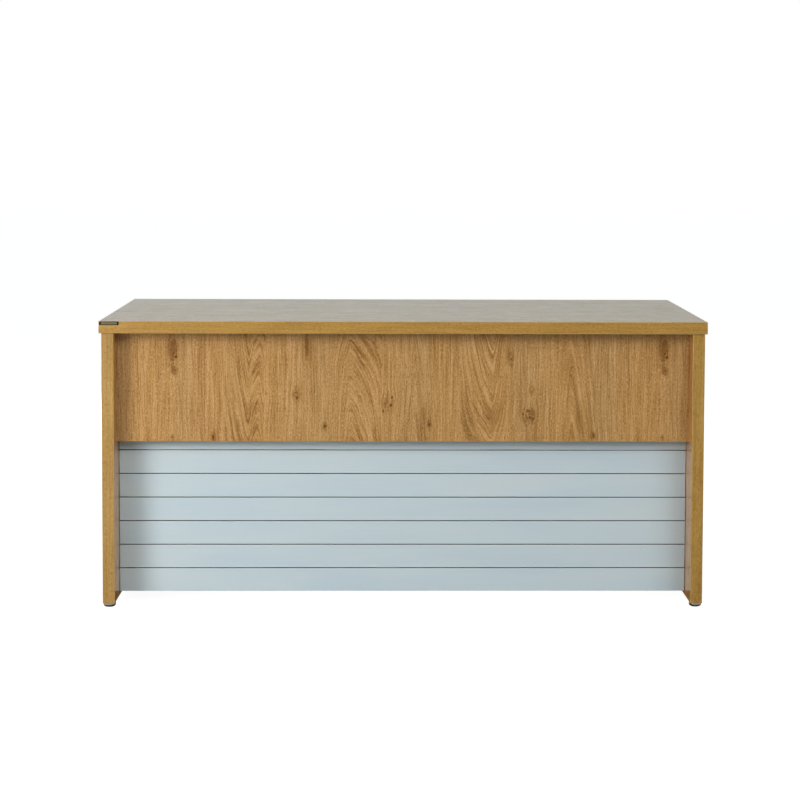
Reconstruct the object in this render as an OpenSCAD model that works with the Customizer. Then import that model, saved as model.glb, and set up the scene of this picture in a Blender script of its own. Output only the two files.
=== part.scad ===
// Executive desk with slab legs, an oak modesty panel and a slatted lower screen.
// Millimetres. +X is the visitor's right, +Y points to the user's side, +Z is up.
// The origin is on the floor, under the centre of the desktop.

/* [Desktop] */
// Width of the desktop over its edge bands
desk_w = 1600; // [1400:10:2000]
// Depth of the desktop over its edge bands
desk_d = 800; // [700:10:1000]
// Height of the desktop above the floor
desk_h = 760; // [740:5:780]
// Thickness of one board; desktop and legs are two boards thick
board_t = 16; // [16:1:18]
// Thickness of the edge bands
band_t = 2; // [1:0.5:2.5]

/* [Legs] */
// How far the desktop stands out past the legs at the sides
side_overhang = 6; // [2:1:20]
// How far the legs' front and rear edges stand back from the desktop's
end_setback = 6; // [2:1:20]
// Height of the legs' lower edges above the floor
leg_lift = 11; // [10:0.5:14]
// Thickness of the legs' bottom bands
foot_band_t = 1; // [0.5:0.5:1]

/* [Upper panel] */
// Distance from the desktop's front edge to the panel's face
panel_setback = 60; // [50:1:70]
// Height of the panel's lower edge above the floor
panel_z = 435; // [430:1:440]
// Thickness of the panel's bottom band
panel_band_t = 1; // [0.5:0.5:1.5]

/* [Slatted screen] */
// Distance from the desktop's front edge to the slats' faces
screen_setback = 111; // [98:1:116]
// Height of the lowest slat's lower edge above the floor
screen_z = 22; // [20:1:26]
// Distance from one slat to the next
slat_pitch = 64; // [63.8:0.1:64.4]
// Gap between two slats
slat_gap = 2.2; // [1.5:0.1:3]
// Bevel along the slats' front edges
slat_bevel = 1.2; // [0.8:0.1:1.6]
// Gap between a slat's end and the leg
slat_end_gap = 1; // [0.5:0.5:2]
// Width of the two middle battens behind the slats
mid_batten_w = 120; // [90:5:150]
// Distance from the middle of the desk to the middle battens' centres
mid_batten_x = 269; // [200:1:400]
// Width of the two end battens against the legs
end_batten_w = 65; // [60:1:90]

/* [Levelling glides] */
// Diameter of the chrome cup
cup_d = 33; // [32:0.5:36]
// How far the glides' centres stand behind the legs' front edges
glide_inset = 20; // [18:1:40]

/* [Blank plate] */
// Length of the blank plate on the front edge
plate_w = 51.6; // [40:1:60]
// Height of the blank plate
plate_h = 9.6; // [8:0.2:12]

/* [Hidden] */
$fn = 64;

// levels and faces that several pieces share
slab_t = 2 * board_t;
top_under = desk_h - slab_t;
front_y = -desk_d / 2;
rear_y = desk_d / 2;
leg_out = desk_w / 2 - side_overhang;
leg_in = leg_out - slab_t;
leg_front_y = front_y + end_setback;
leg_rear_y = rear_y - end_setback;
panel_y = front_y + panel_setback;
panel_rear_y = panel_y + board_t;
screen_y = front_y + screen_setback;
screen_rear_y = screen_y + board_t;
slats = 7;
slat_h = slat_pitch - slat_gap;
screen_top = screen_z + slats * slat_pitch - slat_gap;

// cam locks: one cam sits cam_back from the edge that its bolt comes through
cam_back = 24;
cam_r = 7.5;
cam_depth = 12.5;
bolt_bore_r = 4;
bolt_grip_r = 2.5;
leg_cam_y = [-180, 90, leg_rear_y - 54];
leg_dowel_y = [leg_front_y + 32, -60, 230];
end_cam_z = [500, 660];
end_dowel_z = 580;
top_cam_x = [-450, 0, 450];
dowel_r = 4;

// battens behind the slats, their joints with the legs and the rows of slat screws
batten_z0 = screen_z + 8;
batten_z1 = screen_top - 6;
batten_rear_y = screen_rear_y + board_t;
batten_cam_z = [110, 390];
batten_dowel_z = 250;
screw_len = 28;
screw_x = [for (s = [-1, 1]) each [s * (leg_in - 45), s * (mid_batten_x - 35), s * (mid_batten_x + 35)]];

// levelling feet: a stud of 8 mm with a pitch of 1.25 mm
stud_r = 3.97;
insert_bore_r = 4.03;
insert_r = 6;
insert_len = 20;
stud_top = leg_lift + 27;
cup_top = leg_lift - 0.3;
cup_rim = 1.5;
foot_x = leg_out - board_t;
foot_y = -leg_front_y - glide_inset;

// ---------------------------------------------------------------- helpers

// draws a left-hand piece on the left or mirrored on the right
module side(s) {
    if (s < 0) children();
    else mirror([1, 0, 0]) children();
}

module block(x0, x1, y0, y1, z0, z1) {
    translate([x0, y0, z0]) cube([x1 - x0, y1 - y0, z1 - z0]);
}

// frames of the cam locks: +Z points out of the face with the pocket, the bolt leaves along -X
module at_leg_cam(y) {
    translate([-leg_in, y, top_under - cam_back]) rotate([0, 90, 0]) children();
}
module at_end_cam(z) {
    translate([-(leg_in - cam_back), panel_rear_y, z]) rotate([-90, 0, 0]) children();
}
module at_batten_cam(z) {
    translate([-(leg_in - cam_back), batten_rear_y, z]) rotate([-90, 0, 0]) children();
}
module at_top_cam(x) {
    translate([x, panel_rear_y, top_under - cam_back]) rotate([-90, 0, 0]) rotate([0, 0, 90]) children();
}
module at_every_cam() {
    for (s = [-1, 1]) side(s) {
        for (y = leg_cam_y) at_leg_cam(y) children();
        for (z = end_cam_z) at_end_cam(z) children();
        for (z = batten_cam_z) at_batten_cam(z) children();
    }
    for (x = top_cam_x) at_top_cam(x) children();
}

// pocket and bolt bore in the board that holds the cam
module cam_cut() {
    translate([0, 0, -cam_depth]) cylinder(r = cam_r, h = cam_depth + 1);
    translate([0, 0, -board_t / 2]) rotate([0, -90, 0]) cylinder(r = bolt_bore_r, h = cam_back + 1);
}
// blind hole for the bolt's thread in the board that it is screwed into
module bolt_cut() {
    translate([-cam_back + 1, 0, -board_t / 2]) rotate([0, -90, 0]) cylinder(r = bolt_grip_r + 0.05, h = 12.6);
}

// dowel along +X from the origin, reaching back into the first board
module dowel_solid(back, out) {
    translate([-back, 0, 0]) rotate([0, 90, 0]) {
        cylinder(r1 = dowel_r - 0.8, r2 = dowel_r, h = 1);
        translate([0, 0, 1]) cylinder(r = dowel_r, h = back + out - 2);
        translate([0, 0, back + out - 1]) cylinder(r1 = dowel_r, r2 = dowel_r - 0.8, h = 1);
    }
}
module dowel_cut(back, out) {
    translate([-back - 1, 0, 0]) rotate([0, 90, 0]) cylinder(r = dowel_r + 0.03, h = back + out + 2);
}
module at_leg_dowel(y) {
    translate([-(leg_in + board_t / 2), y, top_under]) rotate([0, -90, 0]) children();
}
module at_end_dowels() {
    translate([-leg_in, panel_y + board_t / 2, end_dowel_z]) children();
    translate([-leg_in, screen_rear_y + board_t / 2, batten_dowel_z]) children();
}

// screw along -Z with its head standing on z = 0
module pan_screw(len) {
    difference() {
        rotate_extrude() polygon([
            [0, 2.4], [1.8, 2.3], [2.9, 1.9], [3.6, 1.1], [3.8, 0.4], [3.8, 0], [1.7, 0],
            [1.7, -(len - 3)], [0.35, -len], [0, -len]
        ]);
        for (a = [0, 90]) rotate([0, 0, a]) translate([-1.9, -0.45, 1]) cube([3.8, 0.9, 2]);
    }
}
module screw_cut(len) {
    translate([0, 0, -len - 1]) cylinder(r = 1.75, h = len + 2);
}
// i counts the slats, x is the row of screws
module at_slat_screw(i, x) {
    translate([x, batten_rear_y, screen_z + i * slat_pitch + slat_h / 2]) rotate([-90, 0, 0]) children();
}

module at_foot(sx, sy) {
    translate([sx * foot_x, sy * foot_y, 0]) children();
}

// ---------------------------------------------------------------- desktop

module desktop_upper_board() {
    color([0.76, 0.61, 0.42])
        block(-desk_w / 2 + band_t, desk_w / 2 - band_t, front_y + band_t, rear_y - band_t,
              desk_h - board_t, desk_h);
}

module desktop_lower_board() {
    color([0.76, 0.61, 0.42]) difference() {
        block(-desk_w / 2 + band_t, desk_w / 2 - band_t, front_y + band_t, rear_y - band_t,
              top_under, desk_h - board_t);
        for (s = [-1, 1]) side(s) {
            for (y = leg_cam_y) at_leg_cam(y) bolt_cut();
            for (y = leg_dowel_y) at_leg_dowel(y) dowel_cut(0, 11);
        }
        for (x = top_cam_x) at_top_cam(x) bolt_cut();
    }
}

// the bands' outer arrises are eased by a small bevel
module eased_bar(len, w, h, e) {
    // along +X, outer face at y = 0, seen face w high in z, h thick in +y
    rotate([90, 0, 90]) linear_extrude(len)
        polygon([[e, 0], [h, 0], [h, w], [e, w], [0, w - e], [0, e]]);
}

module desktop_front_edge_band() {
    color([0.74, 0.56, 0.31])
        translate([-desk_w / 2, front_y, top_under]) eased_bar(desk_w, slab_t, band_t, 0.6);
}
module desktop_rear_edge_band() {
    color([0.74, 0.56, 0.31])
        mirror([0, 1, 0]) translate([-desk_w / 2, front_y, top_under]) eased_bar(desk_w, slab_t, band_t, 0.6);
}
module desktop_end_band() {
    translate([-desk_w / 2, rear_y - band_t, top_under]) rotate([0, 0, -90])
        eased_bar(desk_d - 2 * band_t, slab_t, band_t, 0.6);
}
module desktop_left_edge_band() {
    color([0.74, 0.56, 0.31]) desktop_end_band();
}
module desktop_right_edge_band() {
    color([0.74, 0.56, 0.31]) mirror([1, 0, 0]) desktop_end_band();
}

// ---------------------------------------------------------------- legs

module leg_insert_cuts() {
    for (sy = [-1, 1]) at_foot(-1, sy) {
        translate([0, 0, leg_lift - 1]) cylinder(r = insert_r, h = insert_len + 1.5);
        translate([0, 0, leg_lift]) cylinder(r = 4.6, h = 40);
    }
}

module leg_outer_board(s) {
    color([0.76, 0.61, 0.42]) side(s) difference() {
        block(-leg_out, -leg_out + board_t, leg_front_y + band_t, leg_rear_y - band_t,
              leg_lift + foot_band_t, top_under);
        leg_insert_cuts();
    }
}

module leg_inner_board(s) {
    color([0.76, 0.61, 0.42]) side(s) difference() {
        block(-leg_in - board_t, -leg_in, leg_front_y + band_t, leg_rear_y - band_t,
              leg_lift + foot_band_t, top_under);
        leg_insert_cuts();
        for (y = leg_cam_y) at_leg_cam(y) cam_cut();
        for (y = leg_dowel_y) at_leg_dowel(y) dowel_cut(18, 0);
        for (z = end_cam_z) at_end_cam(z) bolt_cut();
        for (z = batten_cam_z) at_batten_cam(z) bolt_cut();
        at_end_dowels() dowel_cut(10, 0);
    }
}

// upright band at the front edge, its two long arrises eased
module upright_band(s) {
    side(s) translate([0, 0, leg_lift]) linear_extrude(top_under - leg_lift) polygon([
        [-leg_out, leg_front_y + band_t], [-leg_out, leg_front_y + 0.6], [-leg_out + 0.6, leg_front_y],
        [-leg_in - 0.6, leg_front_y], [-leg_in, leg_front_y + 0.6], [-leg_in, leg_front_y + band_t]
    ]);
}
module leg_front_edge_band(s) {
    color([0.74, 0.56, 0.31]) upright_band(s);
}
module leg_rear_edge_band(s) {
    color([0.74, 0.56, 0.31]) mirror([0, 1, 0]) upright_band(s);
}
module leg_bottom_edge_band(s) {
    color([0.70, 0.53, 0.30]) side(s) difference() {
        block(-leg_out, -leg_in, leg_front_y + band_t, leg_rear_y - band_t, leg_lift, leg_lift + foot_band_t);
        leg_insert_cuts();
    }
}

// ---------------------------------------------------------------- upper panel

module upper_modesty_panel() {
    color([0.78, 0.62, 0.42]) difference() {
        block(-leg_in, leg_in, panel_y, panel_rear_y, panel_z + panel_band_t, top_under);
        for (s = [-1, 1]) side(s) {
            for (z = end_cam_z) at_end_cam(z) cam_cut();
            at_end_dowels() dowel_cut(0, 20);
        }
        for (x = top_cam_x) at_top_cam(x) cam_cut();
    }
}
module upper_modesty_panel_edge_band() {
    color([0.74, 0.56, 0.31]) block(-leg_in, leg_in, panel_y, panel_rear_y, panel_z, panel_z + panel_band_t);
}

// ---------------------------------------------------------------- slatted screen

module screen_slat(i) {
    z0 = screen_z + i * slat_pitch;
    b = slat_bevel;
    color([0.76, 0.82, 0.85]) difference() {
        translate([-(leg_in - slat_end_gap), screen_y, z0]) rotate([90, 0, 90])
            linear_extrude(2 * (leg_in - slat_end_gap))
                polygon([[b, 0], [board_t, 0], [board_t, slat_h], [b, slat_h], [0, slat_h - b], [0, b]]);
        for (x = screw_x) at_slat_screw(i, x) screw_cut(screw_len + 0.5);
    }
}

module end_batten(s) {
    color([0.76, 0.82, 0.85]) side(s) difference() {
        block(-leg_in, -leg_in + end_batten_w, screen_rear_y, batten_rear_y, batten_z0, batten_z1);
        for (i = [0 : slats - 1]) at_slat_screw(i, -(leg_in - 45)) screw_cut(screw_len);
        for (z = batten_cam_z) at_batten_cam(z) cam_cut();
        at_end_dowels() dowel_cut(0, 20);
    }
}

module middle_batten(s) {
    color([0.76, 0.82, 0.85]) side(s) difference() {
        block(-mid_batten_x - mid_batten_w / 2, -mid_batten_x + mid_batten_w / 2,
              screen_rear_y, batten_rear_y, batten_z0, batten_z1);
        for (i = [0 : slats - 1], dx = [-35, 35]) at_slat_screw(i, -mid_batten_x + dx) screw_cut(screw_len);
    }
}

module slat_screws() {
    color([0.70, 0.70, 0.72]) for (i = [0 : slats - 1], x = screw_x) at_slat_screw(i, x) pan_screw(screw_len);
}

// ---------------------------------------------------------------- knock-down fittings

// cast cam: a drum with a hollow for the bolt's head, a slot for its neck and a cross recess
module cam_lock() {
    difference() {
        translate([0, 0, -cam_depth + 0.2]) cylinder(r = cam_r - 0.1, h = cam_depth - 0.6);
        translate([0, 0, -board_t / 2]) rotate([0, -90, 0]) cylinder(r = 3.9, h = cam_r + 1);
        translate([0, 0, -board_t / 2]) rotate([0, 90, 0]) cylinder(r = 3.9, h = 3);
        for (a = [0, 90]) rotate([0, 0, a]) translate([-3.2, -0.6, -1.8]) cube([6.4, 1.2, 3]);
    }
}
module cam_locks() {
    color([0.66, 0.67, 0.69]) at_every_cam() cam_lock();
}

// bolt with a head inside the cam, a neck, a plain shank and a coarse thread in the next board
module cam_bolt() {
    translate([0, 0, -board_t / 2]) rotate([0, -90, 0]) rotate_extrude() polygon([
        [0, -1.6], [2.6, -1.6], [3.4, -0.8], [3.4, 0.8], [2.2, 1.8], [2.2, 5], [3.5, 6.2],
        [3.5, cam_back - 0.2], [2.5, cam_back + 0.2], [2.5, cam_back + 9.5], [1.2, cam_back + 11], [0, cam_back + 11]
    ]);
}
module cam_bolts() {
    color([0.72, 0.72, 0.74]) at_every_cam() cam_bolt();
}

// thin press-in cap that hides the cam, slightly domed, with a short spigot in the pocket
module cam_cover_cap() {
    rotate_extrude() polygon([
        [0, -0.3], [6.6, -0.3], [6.6, 0], [8.6, 0], [8.6, 0.5], [8.2, 0.9], [5, 1.15], [0, 1.25]
    ]);
}
module cam_cover_caps() {
    color([0.74, 0.58, 0.36]) at_every_cam() cam_cover_cap();
}

module wood_dowels() {
    color([0.84, 0.70, 0.48]) for (s = [-1, 1]) side(s) {
        for (y = leg_dowel_y) at_leg_dowel(y) dowel_solid(17.5, 11.5);
        at_end_dowels() dowel_solid(10.5, 20);
    }
}

// ---------------------------------------------------------------- blank plate

plate_x0 = -desk_w / 2 + 1.8;
plate_z1 = desk_h - 0.8;
module rounded_plate(w, h, t, r) {
    // face towards -Y, lower left corner at the origin
    rotate([90, 0, 0]) linear_extrude(t) union() {
        translate([r, 0]) square([w - 2 * r, h]);
        translate([0, r]) square([w, h - 2 * r]);
        for (x = [r, w - r], y = [r, h - r]) translate([x, y]) circle(r = r);
    }
}
module blank_plate() {
    color([0.07, 0.06, 0.06]) difference() {
        translate([plate_x0, front_y, plate_z1 - plate_h]) rounded_plate(plate_w, plate_h, 0.6, 1.6);
        translate([plate_x0 + 5, front_y - 0.4, plate_z1 - plate_h + 1.9])
            rounded_plate(plate_w - 10, plate_h - 3.8, 1, 1);
    }
}
module blank_plate_inlay() {
    color([0.55, 0.55, 0.50]) translate([plate_x0 + 5, front_y - 0.4, plate_z1 - plate_h + 1.9])
        rounded_plate(plate_w - 10, plate_h - 3.8, 0.15, 1);
}

// ---------------------------------------------------------------- levelling feet

// ribbed sleeve that is driven into the leg from below
module foot_insert() {
    rotate_extrude() polygon(concat(
        [[insert_bore_r, 0], [insert_r - 0.6, 0], [insert_r - 0.05, 0.5]],
        [for (i = [0 : 5]) each [[insert_r - 0.05, 1.5 + 3 * i], [insert_r - 0.7, 2 + 3 * i],
                                 [insert_r - 0.7, 2.9 + 3 * i], [insert_r - 0.05, 3.4 + 3 * i]]],
        [[insert_r - 0.05, insert_len - 0.5], [insert_r - 0.6, insert_len], [insert_bore_r, insert_len]]
    ));
}
module foot_inserts() {
    color([0.72, 0.70, 0.62]) for (sx = [-1, 1], sy = [-1, 1])
        at_foot(sx, sy) translate([0, 0, leg_lift + 0.2]) foot_insert();
}

// nylon pad: stays still on the floor while the cup turns on its pivot
module foot_pad(sx, sy) {
    color([0.10, 0.10, 0.10]) at_foot(sx, sy) rotate_extrude() polygon([
        [0, 0], [11.2, 0], [11.9, 0.7], [11.9, cup_rim + 1.9], [3, cup_rim + 1.9], [3, cup_rim + 4.6],
        [2.6, cup_rim + 5], [0, cup_rim + 5]
    ]);
}

// pressed and plated cup: widest at the top, drawn in to a rim below, pivot hole and seat beneath
module foot_cup(sx, sy) {
    r = cup_d / 2;
    h = cup_top - cup_rim;
    side_curve = [for (a = [0 : 7.5 : 90]) [13.4 + (r - 13.4) * sin(a), cup_rim + 0.6 * h * (1 - cos(a))]];
    top_curve = [for (a = [10 : 10 : 90]) [r - 1.2 + 1.2 * cos(a), cup_top - 1.2 + 1.2 * sin(a)]];
    color([0.80, 0.80, 0.82]) at_foot(sx, sy) difference() {
        rotate_extrude() polygon(concat([[0, cup_rim]], side_curve, top_curve, [[0, cup_top]]));
        translate([0, 0, cup_rim - 1]) cylinder(r = 12, h = 3);
        translate([0, 0, cup_rim]) cylinder(r = 3.05, h = 5.1);
        translate([0, 0, cup_top - 1.5]) cylinder(r = 4, h = 3);
    }
}

module foot_stud(sx, sy) {
    color([0.74, 0.74, 0.76]) at_foot(sx, sy) rotate_extrude() polygon([
        [0, cup_top - 1.5], [stud_r, cup_top - 1.5], [stud_r, stud_top - 1], [stud_r - 1, stud_top], [0, stud_top]
    ]);
}

// ---------------------------------------------------------------- pieces

desktop_upper_board();
desktop_lower_board();
desktop_front_edge_band();
desktop_rear_edge_band();
desktop_left_edge_band();
desktop_right_edge_band();
leg_outer_board(-1);  // left_leg_outer_board
leg_inner_board(-1);  // left_leg_inner_board
leg_front_edge_band(-1);  // left_leg_front_edge_band
leg_rear_edge_band(-1);  // left_leg_rear_edge_band
leg_bottom_edge_band(-1);  // left_leg_bottom_edge_band
leg_outer_board(1);  // right_leg_outer_board
leg_inner_board(1);  // right_leg_inner_board
leg_front_edge_band(1);  // right_leg_front_edge_band
leg_rear_edge_band(1);  // right_leg_rear_edge_band
leg_bottom_edge_band(1);  // right_leg_bottom_edge_band
upper_modesty_panel();
upper_modesty_panel_edge_band();
screen_slat(0);  // screen_slat_1
screen_slat(1);  // screen_slat_2
screen_slat(2);  // screen_slat_3
screen_slat(3);  // screen_slat_4
screen_slat(4);  // screen_slat_5
screen_slat(5);  // screen_slat_6
screen_slat(6);  // screen_slat_7
end_batten(-1);  // left_end_batten
middle_batten(-1);  // left_middle_batten
middle_batten(1);  // right_middle_batten
end_batten(1);  // right_end_batten
slat_screws();
cam_locks();
cam_bolts();
cam_cover_caps();
wood_dowels();
blank_plate();
blank_plate_inlay();
foot_inserts();
foot_pad(-1, -1);  // front_left_foot_pad
foot_cup(-1, -1);  // front_left_foot_cup
foot_stud(-1, -1);  // front_left_foot_stud
foot_pad(1, -1);  // front_right_foot_pad
foot_cup(1, -1);  // front_right_foot_cup
foot_stud(1, -1);  // front_right_foot_stud
foot_pad(-1, 1);  // rear_left_foot_pad
foot_cup(-1, 1);  // rear_left_foot_cup
foot_stud(-1, 1);  // rear_left_foot_stud
foot_pad(1, 1);  // rear_right_foot_pad
foot_cup(1, 1);  // rear_right_foot_cup
foot_stud(1, 1);  // rear_right_foot_stud
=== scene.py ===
import math

import bmesh
import bpy
from mathutils import Matrix, Vector


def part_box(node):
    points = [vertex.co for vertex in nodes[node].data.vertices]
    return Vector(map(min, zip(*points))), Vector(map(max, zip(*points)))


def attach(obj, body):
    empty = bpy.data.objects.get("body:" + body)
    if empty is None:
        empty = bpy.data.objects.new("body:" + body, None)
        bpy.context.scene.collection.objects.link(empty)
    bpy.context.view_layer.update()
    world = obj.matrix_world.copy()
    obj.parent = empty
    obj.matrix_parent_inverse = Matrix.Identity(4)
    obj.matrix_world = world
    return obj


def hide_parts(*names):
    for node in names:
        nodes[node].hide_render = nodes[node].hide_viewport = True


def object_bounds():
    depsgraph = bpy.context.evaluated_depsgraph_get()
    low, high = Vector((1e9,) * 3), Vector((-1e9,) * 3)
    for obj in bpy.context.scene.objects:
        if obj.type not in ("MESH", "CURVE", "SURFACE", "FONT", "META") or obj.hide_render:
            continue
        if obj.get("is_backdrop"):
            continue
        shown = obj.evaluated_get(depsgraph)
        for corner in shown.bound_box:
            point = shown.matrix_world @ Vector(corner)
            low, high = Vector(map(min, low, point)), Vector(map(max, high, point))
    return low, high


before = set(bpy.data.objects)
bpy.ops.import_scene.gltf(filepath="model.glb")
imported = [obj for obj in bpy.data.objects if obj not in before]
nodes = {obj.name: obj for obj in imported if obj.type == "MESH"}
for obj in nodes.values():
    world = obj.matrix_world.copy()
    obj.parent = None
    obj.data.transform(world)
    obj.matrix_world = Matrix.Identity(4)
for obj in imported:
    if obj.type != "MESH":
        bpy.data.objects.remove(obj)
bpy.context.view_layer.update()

scene = bpy.context.scene


# ------------------------------------------------------------------ node graph helper

class Net:
    """A material's node tree, with its coordinates in millimetres."""

    def __init__(self, name):
        self.mat = bpy.data.materials.new(name)
        self.mat.use_nodes = True
        self.tree = self.mat.node_tree
        self.tree.nodes.clear()
        self.out = self.new("ShaderNodeOutputMaterial")
        self.shader = self.new("ShaderNodeBsdfPrincipled")
        self.tree.links.new(self.shader.outputs[0], self.out.inputs[0])
        self.co = self.vec("SCALE", self.new("ShaderNodeTexCoord").outputs["Object"], scale=1000.0)
        parts = self.new("ShaderNodeSeparateXYZ")
        self.put(parts.inputs[0], self.co)
        self.x, self.y, self.z = parts.outputs

    def new(self, kind, **props):
        node = self.tree.nodes.new(kind)
        for key, value in props.items():
            setattr(node, key, value)
        return node

    def put(self, socket, value):
        if isinstance(value, bpy.types.NodeSocket):
            self.tree.links.new(value, socket)
        else:
            socket.default_value = value

    def math(self, op, a, b=None, c=None, clamp=False):
        node = self.new("ShaderNodeMath", operation=op, use_clamp=clamp)
        for socket, value in zip(node.inputs, (a, b, c)):
            if value is not None:
                self.put(socket, value)
        return node.outputs[0]

    def add(self, a, b): return self.math("ADD", a, b)
    def sub(self, a, b): return self.math("SUBTRACT", a, b)
    def mul(self, a, b): return self.math("MULTIPLY", a, b)
    def mad(self, a, b, c): return self.math("MULTIPLY_ADD", a, b, c)
    def div(self, a, b): return self.math("DIVIDE", a, b)
    def peak(self, a, b): return self.math("MAXIMUM", a, b)
    def low(self, a, b): return self.math("MINIMUM", a, b)

    def vec(self, op, a, b=None, scale=None):
        node = self.new("ShaderNodeVectorMath", operation=op)
        self.put(node.inputs[0], a)
        if b is not None:
            self.put(node.inputs[1], b)
        if scale is not None:
            self.put(node.inputs["Scale"], scale)
        return node.outputs["Value"] if op in ("DOT_PRODUCT", "LENGTH", "DISTANCE") else node.outputs[0]

    def join(self, x, y, z=0.0):
        node = self.new("ShaderNodeCombineXYZ")
        for socket, value in zip(node.inputs, (x, y, z)):
            self.put(socket, value)
        return node.outputs[0]

    def noise(self, where, scale=1.0, detail=2.0, rough=0.5, kind="3D", warp=0.0):
        node = self.new("ShaderNodeTexNoise", noise_dimensions=kind)
        self.put(node.inputs["W" if kind == "1D" else "Vector"], where)
        node.inputs["Scale"].default_value = scale
        node.inputs["Detail"].default_value = detail
        node.inputs["Roughness"].default_value = rough
        node.inputs["Distortion"].default_value = warp
        return node.outputs[0]

    def step(self, value, a, b, lo=0.0, hi=1.0, kind="SMOOTHSTEP"):
        node = self.new("ShaderNodeMapRange", interpolation_type=kind)
        for key, v in (("Value", value), ("From Min", a), ("From Max", b), ("To Min", lo), ("To Max", hi)):
            self.put(node.inputs[key], v)
        return node.outputs[0]

    def ramp(self, value, stops, kind="LINEAR"):
        node = self.new("ShaderNodeValToRGB")
        ramp = node.color_ramp
        ramp.interpolation = kind
        while len(ramp.elements) > 1:
            ramp.elements.remove(ramp.elements[-1])
        for i, (place, colour) in enumerate(stops):
            element = ramp.elements[0] if i == 0 else ramp.elements.new(place)
            element.position = place
            element.color = tuple(colour) + (1.0,) * (4 - len(colour))
        self.put(node.inputs[0], value)
        return node.outputs[0]

    def mix(self, amount, a, b, kind="MIX"):
        node = self.new("ShaderNodeMix", data_type="RGBA", blend_type=kind, clamp_factor=True)
        self.put(node.inputs[0], amount)
        for socket, value in ((node.inputs[6], a), (node.inputs[7], b)):
            self.put(socket, value if isinstance(value, bpy.types.NodeSocket) else tuple(value) + (1.0,))
        return node.outputs[2]

    def facing(self):
        parts = self.new("ShaderNodeSeparateXYZ")
        self.put(parts.inputs[0], self.vec("ABSOLUTE", self.new("ShaderNodeNewGeometry").outputs["Normal"]))
        return parts.outputs

    def arris(self):
        """1 on the rounded edges between flat faces, 0 on the faces."""
        nx, ny, nz = self.facing()
        return self.step(self.sub(1.0, self.peak(self.peak(nx, ny), nz)), 0.02, 0.12)

    def bump(self, height, distance, strength=1.0):
        node = self.new("ShaderNodeBump")
        node.inputs["Strength"].default_value = strength
        node.inputs["Distance"].default_value = distance
        self.put(node.inputs["Height"], height)
        self.put(self.shader.inputs["Normal"], node.outputs[0])

    def set(self, **values):
        for key, value in values.items():
            socket = self.shader.inputs[key.replace("_", " ")]
            if isinstance(value, tuple) and len(value) == 3:
                value = value + (1.0,)
            self.put(socket, value)


# ------------------------------------------------------------------ oak decor

OAK_DARK = (0.195, 0.085, 0.018)
OAK_MID = (0.412, 0.222, 0.064)
OAK_LIGHT = (0.600, 0.372, 0.150)
KNOT = (0.105, 0.037, 0.0)

COOL = (0.972, 0.995, 1.035)
TAN = (1.020, 1.000, 0.950)
RED = (1.010, 0.965, 0.930)
PALE = (1.050, 1.045, 1.050)
PLAIN = (1.0, 1.0, 1.0)
DUSK = (0.950, 0.925, 0.900)


def panel_u(px):
    """Place across the panel, in mm from its left edge, of a column of the view."""
    return (px - 117.0) / 0.3763


def panel_z(py):
    return 435.0 + (441.4 - py) / 0.3763


DECOR_REPEAT = 1304.0

# grain bands of the panel's decor: left edge, axis of the band's arches, how fast they narrow upwards (below 0 they point
# down), how much flatter they run on the right of the axis than on the left
FAR = -60
PANEL_BANDS = [
    (117, FAR, 0.0, 0.0), (157, 172, 0.02, 0.0), (187, FAR, 0.0, 0.0), (218, 247, -0.190, -0.1), (249.5, 257.5, 0.250, -0.3),
    (262, FAR, 0.0, 0.0), (318, 349, 0.270, 0.45), (378, FAR, 0.0, 0.0), (400, 412, 0.07, 0.3), (436, FAR, 0.0, 0.0),
    (458, 491, -0.260, -0.35), (517, 530, -0.03, 0.0), (544, 569, 0.120, 0.3), (594, FAR, 0.0, 0.0), (632, FAR, 0.0, 0.0),
]

# tint bands: left edge, tint
PANEL_TINTS = [
    (117, COOL), (130, PALE), (150, TAN), (168, PALE), (182, COOL), (213, RED), (228, PLAIN), (262, TAN),
    (288, PLAIN), (324, COOL), (338, PLAIN), (372, PALE), (390, PLAIN), (422, COOL), (438, TAN), (462, PLAIN),
    (500, TAN), (522, COOL), (540, PLAIN), (560, TAN), (588, DUSK), (592, COOL),
]

# knots: column, row, spread across and along the grain (mm), how brown around
PANEL_KNOTS = [
    (172, 351, 13, 40, 0.75), (173.5, 369.5, 9, 12, 0.80), (212, 437, 7, 14, 0.5), (295, 394, 11, 20, 0.45),
    (323.7, 426, 7, 12, 0.4), (387, 403, 18, 24, 0.4), (428, 424, 6, 12, 0.3), (509, 355, 9, 24, 0.55),
    (528, 414.5, 21, 22, 0.50), (531, 389, 10, 12, 0.22), (593, 435, 9, 10, 0.45), (171.5, 437, 7, 10, 0.28), (306, 347, 9, 34, 0.65),
]
# their dark eyes: column, row, radius (mm), how dark
PANEL_EYES = [
    (175.2, 356.4, 3.0, 0.95), (173.3, 353.2, 2.1, 0.85), (175.2, 350.6, 2.2, 0.45), (212, 437.3, 3.2, 0.8),
    (294.4, 392.0, 2.2, 0.7), (295.7, 397.6, 2.8, 0.85), (323.7, 425.9, 3.2, 0.85), (390.9, 396.9, 2.5, 0.8),
    (386.1, 400.7, 2.1, 0.6), (390.2, 404.9, 2.9, 0.95), (384.4, 406.2, 2.4, 0.45), (382.3, 410.8, 2.4, 0.70),
    (428.2, 424.4, 2.8, 0.80), (510, 358, 1.9, 0.7), (522.1, 413.6, 2.2, 0.8), (527.2, 410.2, 3.2, 0.7),
    (529, 417.1, 3.2, 0.8), (532.4, 418.8, 2.4, 0.6), (593.2, 435.2, 2.6, 0.62), (171.5, 437, 2.0, 0.3),
]
# stretches where the grain is curly: column, row, spread across and along (mm)
PANEL_CURLS = [(168, 387, 26, 62), (660, 375, 22, 50), (565, 350, 40, 70)]


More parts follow.
